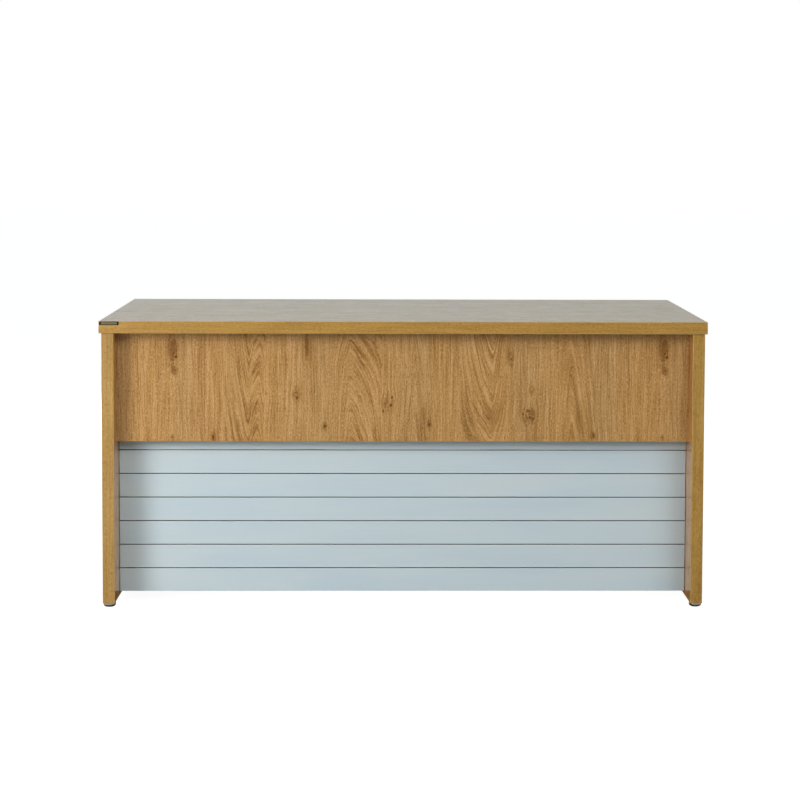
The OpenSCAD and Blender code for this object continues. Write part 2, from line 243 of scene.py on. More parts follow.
def oak(name, u, v, seed=0.0, panel=False, tone=PLAIN, knots=True, sheen=0.0, depth=1.0, satin=0.28):
    n = Net(name)
    u0, v0 = getattr(n, u), getattr(n, v)
    if panel:
        u0 = n.math("FLOORED_MODULO", n.add(u0, 758.4), DECOR_REPEAT)
    # the grain wanders: slowly over the board, and a little at the scale of a hand
    sway = n.noise(n.join(n.mul(u0, 1 / 210), n.mul(v0, 1 / 520), seed), detail=1.0)
    waver = n.noise(n.join(n.mul(u0, 1 / 30), n.mul(v0, 1 / 62), seed + 5.1), detail=2.0)
    jag = n.noise(n.join(n.mul(u0, 1 / 4.5), n.mul(v0, 1 / 6.5), seed + 2.0), detail=1.0)
    ripple = n.noise(n.join(n.mul(u0, 1 / 9.0), n.mul(v0, 1 / 15.0), seed + 2.7), detail=2.0)
    uw = n.mad(n.sub(sway, 0.5), 24.0, u0)
    uw = n.mad(n.sub(waver, 0.5), 7.0, uw)
    uw = n.mad(n.sub(ripple, 0.5), 2.6, uw)

    def bell(du, dv, su, sv):
        a, b = n.mul(du, 1 / su), n.mul(dv, 1 / sv)
        return n.math("EXPONENT", n.mul(n.mad(a, a, n.mul(b, b)), -1.0))

    heart = halo = None
    if panel:
        for px, py, su, sv in PANEL_CURLS:
            curl = bell(n.sub(u0, panel_u(px)), n.sub(v0, panel_z(py)), su, sv)
            uw = n.mad(n.mul(n.sub(jag, 0.5), curl), 20.0, uw)
        for px, py, su, sv, brown in PANEL_KNOTS:
            du, dv = n.sub(u0, panel_u(px)), n.sub(v0, panel_z(py))
            near = bell(du, dv, su, sv)
            uw = n.sub(uw, n.mul(n.mul(du, near), 0.85))
            shade = n.mul(near, brown)
            halo = shade if halo is None else n.peak(halo, shade)
        for px, py, r, dark in PANEL_EYES:
            q = n.vec("LENGTH", n.join(n.mul(n.sub(u0, panel_u(px)), 0.9 / r), n.mul(n.sub(v0, panel_z(py)), 0.7 / r)))
            spot = n.mul(n.step(n.mad(n.sub(jag, 0.5), 1.6, q), 0.60, 1.45, 1.0, 0.0), dark)
            heart = spot if heart is None else n.peak(heart, spot)
        # round the hearts the wood is pitted with small brown flecks
        heart = n.peak(heart, n.mul(n.mul(n.step(halo, 0.12, 0.34), n.step(ripple, 0.54, 0.66)), 0.30))
        stops = [(panel_u(a) / DECOR_REPEAT, ((panel_u(b) + 600) / 2500, c + 0.5, d + 0.5)) for a, b, c, d in PANEL_BANDS]
        band = n.new("ShaderNodeSeparateColor")
        n.put(band.inputs[0], n.ramp(n.mul(uw, 1 / DECOR_REPEAT), stops, "CONSTANT"))
        centre = n.mad(band.outputs[0], 2500.0, -600.0)
        lift = n.mul(n.sub(band.outputs[1], 0.5), n.sub(v0, 580.0))
        keep = [(max(panel_u(a) / DECOR_REPEAT, 0.0), tuple(c * 0.8 for c in shade)) for a, shade in PANEL_TINTS]
        drift = n.mad(n.sub(waver, 0.5), 22.0, uw)
        tint = n.vec("SCALE", n.ramp(n.mul(drift, 1 / DECOR_REPEAT), keep), scale=1.25)
    else:
        cells = n.new("ShaderNodeTexVoronoi", voronoi_dimensions="1D", feature="F1")
        n.put(cells.inputs["W"], n.mad(uw, 1 / 118, seed * 3.7))
        cells.inputs["Scale"].default_value = 1.0
        cells.inputs["Randomness"].default_value = 0.85
        band = n.new("ShaderNodeSeparateColor")
        n.put(band.inputs[0], cells.outputs["Color"])
        if knots:
            scatter = n.new("ShaderNodeTexVoronoi", voronoi_dimensions="2D", feature="F1")
            n.put(scatter.inputs["Vector"], n.join(n.mad(u0, 1 / 120, seed), n.mad(v0, 1 / 170, seed * 1.7)))
            scatter.inputs["Scale"].default_value = 1.0
            place = n.new("ShaderNodeSeparateXYZ")
            n.put(place.inputs[0], scatter.outputs["Position"])
            luck = n.new("ShaderNodeSeparateColor")
            n.put(luck.inputs[0], scatter.outputs["Color"])
            du = n.mul(n.sub(n.mad(u0, 1 / 120, seed), place.outputs[0]), 120.0)
            dv = n.mul(n.sub(n.mad(v0, 1 / 170, seed * 1.7), place.outputs[1]), 170.0)
            size = n.step(luck.outputs[0], 0.35, 1.0, 0.0, 4.4, "LINEAR")
            a, b = n.div(du, n.mad(size, 1.9, 3.0)), n.div(dv, n.mad(size, 4.5, 6.0))
            near = n.math("EXPONENT", n.mul(n.mad(a, a, n.mul(b, b)), -1.0))
            near = n.mul(near, n.step(size, 0.3, 1.2))
            uw = n.sub(uw, n.mul(n.mul(du, near), 0.85))
            cluster = n.mul(n.step(near, 0.35, 0.75), n.step(jag, 0.52, 0.66))
            q = n.vec("LENGTH", n.join(n.div(du, n.mad(size, 0.8, 0.01)), n.div(dv, n.mad(size, 1.15, 0.01))))
            single = n.step(n.mad(jag, 1.1, q), 0.85, 1.75, 1.0, 0.0)
            kind = n.step(luck.outputs[2], 0.45, 0.55)
            heart = n.mad(n.sub(cluster, single), kind, single)
            heart = n.mul(heart, n.mul(n.step(luck.outputs[1], 0.0, 1.0, 0.5, 1.0), n.step(size, 0.3, 1.0)))
            halo = n.mul(near, 0.42)
        centre = n.mul(n.sub(cells.outputs["W"], seed * 3.7), 118.0)
        rise = n.noise(n.join(n.mul(centre, 0.731), n.mul(v0, 1 / 430), seed + 8.0), detail=1.0)
        lift = n.mul(n.mul(n.sub(rise, 0.5), n.mul(band.outputs[1], band.outputs[1])), 190.0)
        tint = n.ramp(band.outputs[2], [
            (0.0, tuple(c * 0.8 for c in COOL)), (0.25, tuple(c * 0.8 for c in PLAIN)), (0.5, tuple(c * 0.8 for c in TAN)),
            (0.7, tuple(c * 0.8 for c in PLAIN)), (0.85, tuple(c * 0.8 for c in PALE)), (1.0, tuple(c * 0.8 for c in RED))])
        tint = n.vec("SCALE", tint, scale=1.25)

    # distance from the pith, in mm: its level lines are the growth rings, arched where the board cuts them flat
    du = n.sub(uw, centre)
    if panel:
        skew = n.mul(n.sub(band.outputs[2], 0.5), n.math("SIGN", du))
        du = n.mul(du, n.sub(1.0, skew))
    spread = n.mul(du, 1 / 46)
    flat = n.math("EXPONENT", n.mul(n.mul(spread, spread), -1.0))
    ring = n.math("SQRT", n.mad(du, du, 12.0))
    ring = n.mad(lift, flat, ring)
    ring = n.mad(centre, 1.37, ring)
    lean = n.mad(uw, 1 / 70, seed)

    fibre = n.noise(n.join(n.mul(ring, 1 / 3.4), n.mul(v0, 1 / 120), n.add(lean, 1.0)), detail=3.0, rough=0.62)
    broad = n.noise(n.join(n.mul(ring, 1 / 14.0), n.mul(v0, 1 / 500), n.add(lean, 7.0)), detail=1.0)
    edge = n.noise(n.join(n.mul(ring, 1 / 8.5), n.mul(v0, 1 / 1600), n.add(lean, 9.0)), detail=1.0)
    edge = n.math("ABSOLUTE", n.sub(edge, 0.5))
    line = n.step(edge, 0.0, 0.060, 1.0, 0.0)
    slow = n.noise(n.join(n.mul(u0, 1 / 62), n.mul(v0, 1 / 190), seed + 4.0), detail=2.0)
    arch = n.step(n.math("ABSOLUTE", n.mul(lift, flat)), 0.0, 9.0)
    line = n.mul(line, n.peak(n.step(slow, 0.34, 0.62), arch))
    # the wide rings of the flat-cut middle: each darkens slowly, then stops short
    turn = n.math("FRACT", n.mad(n.sub(broad, 0.5), 1.6, n.mul(ring, 1 / 13.0)))
    wave = n.sub(n.step(turn, 0.86, 1.0, 0.0, 1.6), n.mul(turn, 1.35))
    wave = n.add(wave, 0.5)
    pore = n.noise(n.join(n.mul(uw, 1 / 0.95), n.mul(v0, 1 / 24), seed + 3.0), detail=1.0)
    pore = n.mul(n.step(pore, 0.56, 0.70), n.mad(broad, 1.2, 0.3))
    fleck = n.noise(n.join(n.mul(uw, 1 / 2.2), n.mul(v0, 1 / 6.5), seed + 6.0), detail=2.0, rough=0.6)

    value = n.mad(n.sub(fibre, 0.5), 1.42, 0.5)
    value = n.mad(n.sub(broad, 0.5), 0.44, value)
    value = n.mad(line, n.mad(arch, -0.13, -0.13), value)
    value = n.mad(wave, n.mul(n.mul(arch, flat), 0.15), value)
    value = n.mad(n.sub(slow, 0.5), 0.34, value)
    value = n.mad(pore, -0.30, value)
    value = n.mad(n.sub(fleck, 0.5), 1.35, value)
    if depth != 1.0:
        value = n.mad(n.sub(value, 0.5), depth, 0.5)
    if halo is not None:
        value = n.mad(halo, -0.80, value)
    colour = n.ramp(value, [(0.0, OAK_DARK), (0.5, OAK_MID), (1.0, OAK_LIGHT)])
    colour = n.mix(1.0, colour, tint, "MULTIPLY")
    if heart is not None:
        colour = n.mix(heart, colour, KNOT)
    if tone != PLAIN:
        colour = n.mix(1.0, colour, tone, "MULTIPLY")
    n.set(Base_Color=colour)
    scuff = n.noise(n.vec("SCALE", n.co, scale=1 / 55), detail=3.0, rough=0.6)
    gloss = n.mad(n.sub(scuff, 0.5), 0.22 if sheen else 0.10, 0.32 if sheen else 0.45)
    gloss = n.mad(pore, 0.18, gloss)
    n.set(Roughness=gloss, Specular_IOR_Level=0.16 if panel else (0.5 if sheen else 0.38))
    if sheen:
        n.set(Coat_Weight=sheen, Coat_Roughness=satin, Coat_IOR=1.5)
    n.bump(n.mad(pore, -1.0, n.mul(fibre, 0.5)), 0.00006, 0.5)
    return n.mat


def edge_oak(name, along, across, third, seed=0.0, cast=(1.0, 1.0, 1.0)):
    """Printed oak edge band, its grain along the strip."""
    n = Net(name)
    a, b, c = getattr(n, along), getattr(n, across), getattr(n, third)
    side = n.add(b, n.mul(c, 0.8))
    wander = n.noise(n.join(n.mul(a, 1 / 130), n.mul(side, 1 / 45), seed), detail=1.0)
    side = n.mad(n.sub(wander, 0.5), 7.0, side)
    fibre = n.noise(n.join(n.mul(side, 1 / 5.2), n.mul(a, 1 / 210), seed + 2), detail=4.0, rough=0.60)
    slow = n.noise(n.join(n.mul(side, 1 / 30), n.mul(a, 1 / 160), seed + 4), detail=2.0)
    pore = n.noise(n.join(n.mul(side, 1 / 0.9), n.mul(a, 1 / 14), seed + 6), detail=0.0)
    pore = n.step(pore, 0.62, 0.76)
    fleck = n.noise(n.join(n.mul(side, 1 / 2.4), n.mul(a, 1 / 8), seed + 9), detail=2.0, rough=0.6)
    value = n.mad(n.sub(fibre, 0.5), 1.15, 0.5)
    value = n.mad(n.sub(slow, 0.5), 0.50, value)
    value = n.mad(n.sub(fleck, 0.5), 1.30, value)
    value = n.mad(pore, -0.30, value)
    stops = ((0.0, (0.225, 0.108, 0.014)), (0.5, (0.360, 0.198, 0.036)), (1.0, (0.475, 0.285, 0.072)))
    colour = n.ramp(value, [(place, tuple(a * b for a, b in zip(shade, cast))) for place, shade in stops])
    # the scraped arrises show the band's paler core, and are lightened further as a painted highlight along the band's
    # edges
    colour = n.mix(n.mul(n.arris(), 0.75), colour, (0.60, 0.42, 0.19))
    n.set(Base_Color=colour)
    scuff = n.noise(n.vec("SCALE", n.co, scale=1 / 40), detail=3.0, rough=0.6)
    n.set(Roughness=n.mad(pore, 0.15, n.mad(n.sub(scuff, 0.5), 0.12, 0.36)), Specular_IOR_Level=0.45)
    n.bump(n.mad(pore, -1.0, n.mul(fibre, 0.4)), 0.00005, 0.5)
    return n.mat


def lacquer(name):
    """Pale blue-grey satin lacquer, with the faint levelling marks of the roller along the slat."""
    n = Net(name)
    drift = n.noise(n.join(n.mul(n.x, 1 / 420), n.mul(n.z, 1 / 60), n.mul(n.y, 1 / 60)), detail=2.0)
    draw = n.noise(n.join(n.mul(n.x, 1 / 300), n.mul(n.z, 1 / 3.2), n.mul(n.y, 1 / 3.2)), detail=2.0, rough=0.6)
    peel = n.noise(n.vec("SCALE", n.co, scale=1 / 2.6), detail=1.0)
    grit = n.noise(n.vec("SCALE", n.co, scale=1 / 0.7), detail=0.0)
    speck = n.step(grit, 0.80, 0.86)
    tone = n.mad(n.sub(draw, 0.5), 0.42, n.mad(n.sub(drift, 0.5), 1.15, 0.5))
    colour = n.ramp(tone, [(0.25, (0.453, 0.545, 0.588)), (0.5, (0.476, 0.561, 0.594)), (0.75, (0.496, 0.568, 0.584))])
    colour = n.mix(n.mul(speck, 0.35), colour, (0.66, 0.73, 0.75))
    # painted shade: the sawn long edges, seen down in the gaps between the slats, are painted near black so that the
    # gaps read dark
    shaded_sawn_edge = n.step(n.facing()[2], 0.86, 0.97)
    colour = n.mix(shaded_sawn_edge, colour, (0.085, 0.092, 0.085))
    # painted highlight: the front arrises are painted paler beside each gap
    colour = n.mix(n.mul(n.mul(n.arris(), n.sub(1.0, shaded_sawn_edge)), 0.7), colour, (0.66, 0.72, 0.73))
    n.set(Base_Color=colour)
    rough = n.mad(n.sub(draw, 0.5), 0.10, 0.34)
    rough = n.mad(shaded_sawn_edge, 0.5, rough)
    n.set(Roughness=n.mad(n.sub(drift, 0.5), 0.10, rough), Specular_IOR_Level=0.5)
    n.bump(n.add(n.mul(peel, 0.6), n.mul(draw, 0.5)), 0.00005, 0.35)
    return n.mat


def metal(name, colour, rough, brushed=None, dull=(0.5, 0.5, 0.5), spots=0.0, foot=None):
    n = Net(name)
    haze = n.noise(n.vec("SCALE", n.co, scale=1 / 9), detail=3.0, rough=0.6)
    if brushed:
        axis = {"x": (1 / 60, 1 / 0.35, 1 / 0.35), "z": (1 / 0.35, 1 / 0.35, 1 / 60), "c": (1 / 0.5, 1 / 0.5, 1 / 0.12)}[brushed]
        line = n.noise(n.vec("MULTIPLY", n.co, axis), detail=2.0, rough=0.7)
    else:
        line = n.noise(n.vec("SCALE", n.co, scale=1 / 0.8), detail=2.0)
    shade = n.mix(n.mad(n.sub(line, 0.5), 0.7, n.mul(haze, 0.4)), colour, dull)
    if spots:
        blot = n.step(n.noise(n.vec("SCALE", n.co, scale=1 / 2.2), detail=2.0), 0.62, 0.75)
        shade = n.mix(n.mul(blot, spots), shade, (0.10, 0.09, 0.08))
    if foot:
        # painted shade: the cup is painted darker towards the floor, standing for the dark floor it mirrors there, and
        # stays bright on its lip
        shade = n.mix(n.step(n.mad(n.sub(haze, 0.5), 1.2, n.z), 4.8, 6.8, 1.0, 0.0), shade, foot)
    n.set(Base_Color=shade, Metallic=1.0)
    n.set(Roughness=n.mad(n.sub(line, 0.5), rough * 0.8, n.mad(n.sub(haze, 0.5), rough * 0.6, rough)))
    n.bump(line, 0.00002, 0.4)
    return n.mat


def moulded(name, colour, lighter, rough, grain=0.9):
    n = Net(name)
    pebble = n.noise(n.vec("SCALE", n.co, scale=1 / grain), detail=2.0)
    haze = n.noise(n.vec("SCALE", n.co, scale=1 / 14), detail=2.0)
    n.set(Base_Color=n.mix(n.mad(n.sub(pebble, 0.5), 0.5, n.mul(haze, 0.6)), colour, lighter))
    n.set(Roughness=n.mad(n.sub(haze, 0.5), 0.2, rough), Specular_IOR_Level=0.45)
    n.bump(pebble, 0.00008, 0.5)
    return n.mat


def beech(name):
    n = Net(name)
    fibre = n.noise(n.join(n.mul(n.x, 1 / 30), n.mul(n.y, 1 / 0.8), n.mul(n.z, 1 / 0.8)), detail=3.0, rough=0.6)
    fleck = n.step(n.noise(n.join(n.mul(n.x, 1 / 3.0), n.mul(n.y, 1 / 0.5), n.mul(n.z, 1 / 0.5)), detail=0.0), 0.64, 0.74)
    colour = n.ramp(fibre, [(0.25, (0.48, 0.30, 0.15)), (0.5, (0.66, 0.46, 0.26)), (0.8, (0.76, 0.57, 0.35))])
    n.set(Base_Color=n.mix(n.mul(fleck, 0.4), colour, (0.42, 0.24, 0.11)))
    n.set(Roughness=n.mad(fibre, 0.2, 0.55), Specular_IOR_Level=0.35)
    n.bump(fibre, 0.0001, 0.5)
    return n.mat


M = {
    "panel": oak("oak_panel", "x", "z", seed=2.0, panel=True, tone=(0.978, 1.012, 1.18), depth=0.91),
    "top": oak("oak_top", "y", "x", seed=11.3, sheen=0.5, depth=1.35),
    "under": oak("oak_under", "y", "x", seed=17.9, tone=(0.97, 0.97, 0.97)),
    "leg_out": oak("oak_leg_outer", "y", "z", seed=23.4),
    # painted light: the inner boards are toned lighter and warmer than the outer ones, a lit copy of the same oak
    "leg_in": oak("oak_leg_inner", "y", "z", seed=31.7, tone=(1.42, 1.18, 0.70), sheen=0.67, satin=0.04),
    "edge_x": edge_oak("edge_oak_across", "x", "z", "y", seed=3.0),
    "edge_y": edge_oak("edge_oak_deep", "y", "z", "x", seed=5.0),
    "edge_yb": edge_oak("edge_oak_foot", "y", "x", "z", seed=6.0),
    # painted light: the two uprights' bands are cast differently, the left one paler and bluer, lit and shaded copies
    # of one band
    "edge_z_left": edge_oak("edge_oak_upright_left", "z", "x", "y", seed=8.0, cast=(1.01, 1.06, 1.45)),
    "edge_z_right": edge_oak("edge_oak_upright_right", "z", "x", "y", seed=9.4, cast=(0.98, 1.01, 1.10)),
    "slat": lacquer("slat_lacquer"),
    "zinc": metal("bright_zinc", (0.62, 0.62, 0.64), 0.28, dull=(0.47, 0.48, 0.50), spots=0.25),
    "cast": metal("zinc_casting", (0.44, 0.45, 0.47), 0.45, dull=(0.32, 0.33, 0.35), spots=0.3),
    # the chrome's foot colour is painted shade on the cups' lower part
    "chrome": metal("chrome_plate", (0.97, 0.93, 0.86), 0.07, dull=(0.86, 0.82, 0.75), foot=(0.20, 0.19, 0.17)),
    "cap": moulded("cap_plastic", (0.47, 0.27, 0.11), (0.60, 0.38, 0.18), 0.42),
    "nylon": moulded("nylon_black", (0.010, 0.010, 0.010), (0.030, 0.030, 0.031), 0.48, 0.6),
    "black": metal("plate_black", (0.020, 0.017, 0.015), 0.34, brushed="x", dull=(0.050, 0.045, 0.040)),
    "inlay": metal("plate_metal", (0.215, 0.185, 0.115), 0.42, brushed="x", dull=(0.100, 0.088, 0.055)),
    "beech": beech("bare_beech"),
}


# ------------------------------------------------------------------ mesh helpers

def finish_mesh(name, bm, material, body, replaces, smooth=True):
    """Makes the piece. Shading normals are weighted by area, so flat faces stay flat and rounded edges run smooth."""
    bmesh.ops.recalc_face_normals(bm, faces=bm.faces)
    mesh = bpy.data.meshes.new(name)
    bm.to_mesh(mesh)
    bm.free()
    if smooth:
        for p in mesh.polygons:
            p.use_smooth = True
        total = [Vector() for _ in mesh.vertices]
        for p in mesh.polygons:
            for v in p.vertices:
                total[v] += p.normal * p.area
        mesh.normals_split_custom_set_from_vertices([t.normalized() for t in total])
    mesh.materials.append(material)
    obj = bpy.data.objects.new(name, mesh)
    scene.collection.objects.link(obj)
    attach(obj, body)
    if replaces:
        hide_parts(*replaces)
    return obj


def eased_box(lo, hi, radii, segments=3):
    """A board with rounded arrises. radii gives (test, radius) pairs; test takes an edge's middle and direction."""
    bm = bmesh.new()
    bmesh.ops.create_cube(bm, size=1.0)
    lo, hi = Vector(lo), Vector(hi)
    for v in bm.verts:
        v.co = Vector([lo[i] + (v.co[i] + 0.5) * (hi[i] - lo[i]) for i in range(3)])
    for test, radius in radii:
        picked = []
        for e in bm.edges:
            a, b = e.verts[0].co, e.verts[1].co
            mid, run = (a + b) / 2, (b - a)
            axis = max(range(3), key=lambda i: abs(run[i]))
            where = [-1 if abs(mid[i] - lo[i]) < 1e-7 else (1 if abs(mid[i] - hi[i]) < 1e-7 else 0) for i in range(3)]
            if test(axis, where):
                picked.append(e)
        bmesh.ops.bevel(bm, geom=picked, offset=radius, offset_type="OFFSET", segments=segments, profile=0.5,
                        affect="EDGES", clamp_overlap=True)
    return bm


def turned(profile, centre, steps=72, axis="z", bm=None):
    """Turns a profile of (radius, height) points round an upright or level axis. The profile starts and ends on the axis."""
    bm = bm or bmesh.new()
    rings = []
    for r, h in profile:
        if r < 1e-9:
            rings.append([bm.verts.new((0, 0, h))])
        else:
            rings.append([bm.verts.new((r * math.cos(2 * math.pi * i / steps), r * math.sin(2 * math.pi * i / steps), h))
                          for i in range(steps)])
    made = [v for ring in rings for v in ring]
    for lower, upper in zip(rings, rings[1:]):
        for i in range(steps):
            j = (i + 1) % steps
            if len(lower) == 1 and len(upper) == 1:
                break
            if len(lower) == 1:
                bm.faces.new((lower[0], upper[i], upper[j]))
            elif len(upper) == 1:
                bm.faces.new((lower[i], lower[j], upper[0]))
            else:
                bm.faces.new((lower[i], lower[j], upper[j], upper[i]))
    turn = {"z": Matrix.Identity(3), "y": Matrix(((1, 0, 0), (0, 0, 1), (0, -1, 0))),
            "-x": Matrix(((0, 0, -1), (0, 1, 0), (1, 0, 0))), "+x": Matrix(((0, 0, 1), (0, 1, 0), (-1, 0, 0)))}[axis]
    for v in made:
        v.co = turn @ v.co + Vector(centre)
    return bm


def islands(node):
    """Boxes of the separate bodies in a CAD node, in metres."""
    bm = bmesh.new()
    bm.from_mesh(nodes[node].data)
    bmesh.ops.remove_doubles(bm, verts=bm.verts, dist=1e-7)
    seen, found = set(), []
    for start in bm.verts:
        if start in seen:
            continue
        stack, group = [start], []
        seen.add(start)
        while stack:
            v = stack.pop()
            group.append(v.co)
            for e in v.link_edges:
                w = e.other_vert(v)
                if w not in seen:
                    seen.add(w)
                    stack.append(w)
        lo = Vector([min(c[i] for c in group) for i in range(3)])
        hi = Vector([max(c[i] for c in group) for i in range(3)])
        found.append((lo, hi))
    bm.free()
    return sorted(found, key=lambda b: tuple(round(c, 5) for c in (b[0] + b[1]) / 2))


# ------------------------------------------------------------------ carried-over boards

def dress(node, material):
    data = nodes[node].data
    data.materials.clear()
    data.materials.append(material)


dress("desktop_upper_board", M["top"])
dress("desktop_lower_board", M["under"])
dress("upper_modesty_panel", M["panel"])
for side in ("left", "right"):
    dress(side + "_leg_outer_board", M["leg_out"])
    dress(side + "_leg_inner_board", M["leg_in"])
    dress(side + "_end_batten", M["slat"])
    dress(side + "_middle_batten", M["slat"])
dress("cam_locks", M["cast"])
dress("cam_bolts", M["zinc"])
dress("wood_dowels", M["beech"])
dress("foot_inserts", M["zinc"])


# ------------------------------------------------------------------ edge bands, with their rounded arrises

MM = 0.001


def band(node, material, radii):
    lo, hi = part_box(node)
    finish_mesh("detailed_" + node, eased_box(lo, hi, radii, 3), material, "desk_frame", [node])


band("desktop_front_edge_band", M["edge_x"], [(lambda ax, w: w[1] == -1, 1.4 * MM)])
band("desktop_rear_edge_band", M["edge_x"], [(lambda ax, w: w[1] == 1, 1.4 * MM)])
band("desktop_left_edge_band", M["edge_y"], [(lambda ax, w: ax == 1 and w[0] == -1, 1.4 * MM)])
band("desktop_right_edge_band", M["edge_y"], [(lambda ax, w: ax == 1 and w[0] == 1, 1.4 * MM)])
for side in ("left", "right"):
    band(side + "_leg_front_edge_band", M["edge_z_" + side], [(lambda ax, w: ax == 2 and w[1] == -1, 1.4 * MM)])
    band(side + "_leg_rear_edge_band", M["edge_z_" + side], [(lambda ax, w: ax == 2 and w[1] == 1, 1.4 * MM)])
    band(side + "_leg_bottom_edge_band", M["edge_yb"], [(lambda ax, w: ax == 1 and w[2] == -1, 0.5 * MM)])
band("upper_modesty_panel_edge_band", M["edge_x"], [(lambda ax, w: ax == 0 and w[2] == -1, 0.5 * MM)])


# ------------------------------------------------------------------ slats

for i in range(1, 8):
    node = "screen_slat_%d" % i
    lo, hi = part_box(node)
    bm = eased_box(lo, hi, [
        (lambda ax, w: w[1] == -1, 1.2 * MM),
        (lambda ax, w: ax == 0 and w[1] == 1, 0.5 * MM),
    ], 4)
    finish_mesh("detailed_" + node, bm, M["slat"], "desk_frame", [node])


# ------------------------------------------------------------------ screws and caps

def screw_head(bm, centre):
    """Pan head with a cross recess, on a shank, pointing to -Y from the batten's rear face."""
    # shank and head in one skin; the recess is cut as a cross-shaped well in the crown
    base = [(1.7, -25.0), (1.7, 0.0), (3.8, 0.0), (3.8, 0.4), (3.6, 1.1), (2.9, 1.9), (2.35, 2.2)]
    steps = 32
    rings = []
    made = []
    tip = bm.verts.new((0, 0, -28.0 * MM))
    made.append(tip)
    for r, h in base:
        ring = [bm.verts.new((r * MM * math.cos(2 * math.pi * i / steps), r * MM * math.sin(2 * math.pi * i / steps), h * MM))
                for i in range(steps)]
        rings.append(ring)
        made += ring
    for i in range(steps):
        bm.faces.new((tip, rings[0][(i + 1) % steps], rings[0][i]))
    for a, b in zip(rings, rings[1:]):
        for i in range(steps):
            j = (i + 1) % steps
            bm.faces.new((a[i], a[j], b[j], b[i]))
    # crown: the ring inside the shoulder follows a cross, then drops into the well
    def cross(radius_long, radius_short, h):
        ring = []
        for i in range(steps):
            t = 2 * math.pi * i / steps
            k = abs(math.cos(2 * t)) ** 3
            r = radius_short + (radius_long - radius_short) * k
            ring.append(bm.verts.new((r * MM * math.cos(t), r * MM * math.sin(t), h * MM)))
        return ring
    lip = cross(1.95, 0.75, 2.32)
    wall = cross(1.75, 0.62, 1.55)
    floor = cross(0.80, 0.35, 1.05)
    bottom = bm.verts.new((0, 0, 0.8 * MM))
    for a, b in ((rings[-1], lip), (lip, wall), (wall, floor)):
        for i in range(steps):
            j = (i + 1) % steps
            bm.faces.new((a[i], a[j], b[j], b[i]))
    for i in range(steps):
        bm.faces.new((floor[i], floor[(i + 1) % steps], bottom))
    made += lip + wall + floor + [bottom]
    turn = Matrix(((1, 0, 0), (0, 0, 1), (0, -1, 0)))
    for v in made:
        v.co = turn @ v.co + centre


bm = bmesh.new()
for lo, hi in islands("slat_screws"):
    screw_head(bm, Vector(((lo.x + hi.x) / 2, hi.y - 2.4 * MM, (lo.z + hi.z) / 2)))
finish_mesh("detailed_slat_screws", bm, M["zinc"], "desk_frame", ["slat_screws"])

CAP = [(0, -0.3), (6.6, -0.3), (6.6, 0.0), (8.5, 0.0), (8.6, 0.12), (8.6, 0.45), (8.5, 0.68), (8.2, 0.88), (7.7, 1.0),
       (6.5, 1.09), (5.0, 1.15), (3.0, 1.21), (0, 1.25)]
bm = bmesh.new()
for lo, hi in islands("cam_cover_caps"):
    size, mid = hi - lo, (lo + hi) / 2
    profile = [(r * MM, h * MM) for r, h in CAP]
    if size.x < size.y:
        out = "-x" if mid.x > 0 else "+x"
        face = hi.x - 0.3 * MM if mid.x > 0 else lo.x + 0.3 * MM
        turned(profile, (face, mid.y, mid.z), 48, out, bm)
    else:
        turned(profile, (mid.x, lo.y + 0.3 * MM, mid.z), 48, "y", bm)
finish_mesh("detailed_cam_cover_caps", bm, M["cap"], "desk_frame", ["cam_cover_caps"])


# ------------------------------------------------------------------ blank plate

def rounded_slab(lo, hi, radius, ease, steps=7):
    """Thin plate facing -Y with rounded corners and an eased front edge."""
    bm = bmesh.new()
    def outline(shrink, y):
        ring = []
        r = max(radius - shrink, 0.0001)
        x0, x1, z0, z1 = lo[0] + shrink, hi[0] - shrink, lo[2] + shrink, hi[2] - shrink
        for cx, cz, a0 in ((x1 - r, z1 - r, 0), (x0 + r, z1 - r, 90), (x0 + r, z0 + r, 180), (x1 - r, z0 + r, 270)):
            for k in range(steps):
                t = math.radians(a0 + 90 * k / (steps - 1))
                ring.append(bm.verts.new((cx + r * math.cos(t), y, cz + r * math.sin(t))))
        return ring
    rings = [outline(0, hi[1]), outline(0, lo[1] + ease), outline(ease * 0.3, lo[1] + ease * 0.3), outline(ease, lo[1])]
    for a, b in zip(rings, rings[1:]):
        for i in range(len(a)):
            j = (i + 1) % len(a)
            bm.faces.new((a[i], a[j], b[j], b[i]))
    return bm, rings


lo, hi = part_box("blank_plate")
ilo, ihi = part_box("blank_plate_inlay")
bm, rings = rounded_slab(lo, hi, 1.6 * MM, 0.15 * MM)
# the face is a frame round the sunk field that holds the inlay
field = []
r = 1.0 * MM
for cx, cz, a0 in ((ihi.x - r, ihi.z - r, 0), (ilo.x + r, ihi.z - r, 90), (ilo.x + r, ilo.z + r, 180), (ihi.x - r, ilo.z + r, 270)):
    for k in range(7):
        t = math.radians(a0 + 90 * k / 6)
        field.append((cx + r * math.cos(t), cz + r * math.sin(t)))
front = [bm.verts.new((x, lo.y, z)) for x, z in field]
sunk = [bm.verts.new((x, ihi.y, z)) for x, z in field]
for a, b in ((rings[-1], front), (front, sunk)):
    for i in range(len(a)):
        j = (i + 1) % len(a)
        bm.faces.new((a[i], a[j], b[j], b[i]))
bm.faces.new(sunk)
bm.faces.new(rings[0])
finish_mesh("detailed_blank_plate", bm, M["black"], "desk_frame", ["blank_plate"])

bm, rings = rounded_slab(ilo, ihi, 1.0 * MM, 0.05 * MM)
bm.faces.new(rings[-1])
bm.faces.new(rings[0])
finish_mesh("detailed_blank_plate_inlay", bm, M["inlay"], "desk_frame", ["blank_plate_inlay"])


# ------------------------------------------------------------------ levelling feet

def arc(cr, cz, r, a0, a1, n):
    return [(cr + r * math.cos(math.radians(a0 + (a1 - a0) * k / n)), cz + r * math.sin(math.radians(a0 + (a1 - a0) * k / n)))
            for k in range(n + 1)]


